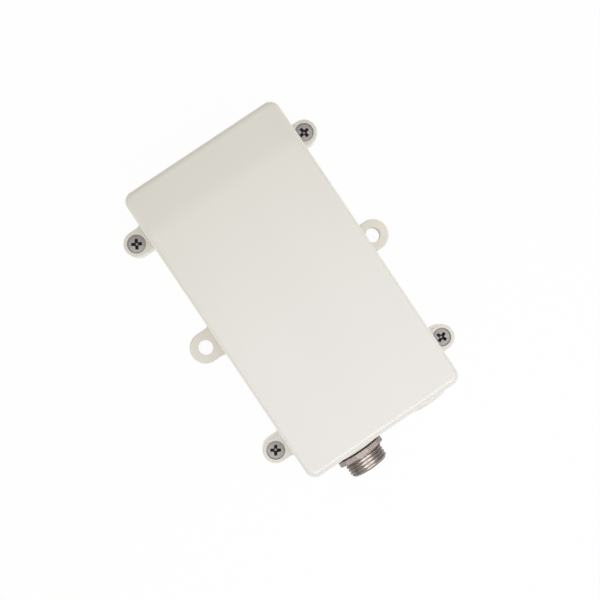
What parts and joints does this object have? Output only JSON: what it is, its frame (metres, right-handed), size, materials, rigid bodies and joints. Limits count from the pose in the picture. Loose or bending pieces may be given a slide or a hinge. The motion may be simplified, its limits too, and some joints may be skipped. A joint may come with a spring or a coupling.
{
  "type": "noise sensor",
  "caption": "Wall-mounted noise sensor: glossy off-white box with screw ears, mounting ears, a round sound port and a threaded panel socket on one end.",
  "frame": {"origin": "centre of the flat mounting face, midway between the two mounting holes", "axes": "+Z out of the wall, through the blank front; +Y along the housing, away from the end with the socket; +X across, towards the side of the sound port"},
  "size_m": [0.0694, 0.1026, 0.027],
  "materials": {
    "shell_plastic": "smooth glossy moulded ABS, off-white",
    "plate_plastic": "satin moulded ABS, slightly warmer off-white",
    "cap_plastic": "satin moulded cap, off-white",
    "screw_steel": "zinc-plated steel, satin",
    "insert_brass": "plain brass, turned",
    "nickel_plate": "nickel-plated brass, bright",
    "contact_plate": "gold-flashed contacts",
    "insulator_plastic": "black moulded insulator",
    "seal_rubber": "silicone, dark",
    "gasket_rubber": "black rubber",
    "boot_rubber": "soft black rubber",
    "membrane_film": "thin white microporous membrane",
    "capsule_metal": "drawn aluminium can",
    "board_laminate": "green solder resist on glass laminate",
    "chip_epoxy": "black moulding epoxy, tinned leads",
    "inductor_ferrite": "dark ferrite",
    "capacitor_can": "aluminium can on a black foot",
    "crystal_can": "tinned steel can",
    "header_plastic": "natural nylon",
    "lead_insulation": "insulated stranded leads"
  },
  "bodies": {
    "root": {"front_shell": "shell_plastic", "back_plate": "plate_plastic", "perimeter_seal": "seal_rubber", "housing_screws": "screw_steel", "threaded_inserts": "insert_brass", "socket_shell": "nickel_plate", "socket_nut": "nickel_plate", "socket_gasket": "gasket_rubber", "socket_insulator": "insulator_plastic", "contact_pins": "contact_plate", "port_cap": "cap_plastic", "acoustic_membrane": "membrane_film", "microphone_boot": "boot_rubber", "microphone_capsule": "capsule_metal", "circuit_board": "board_laminate", "board_screws": "screw_steel", "microcontroller": "chip_epoxy", "line_transceiver": "chip_epoxy", "preamplifier": "chip_epoxy", "surge_diodes": "chip_epoxy", "voltage_regulator": "chip_epoxy", "power_inductor": "inductor_ferrite", "filter_capacitors": "capacitor_can", "clock_crystal": "crystal_can", "lead_header": "header_plastic", "signal_leads": "lead_insulation", "microphone_leads": "lead_insulation"}
  },
  "joints": []
}
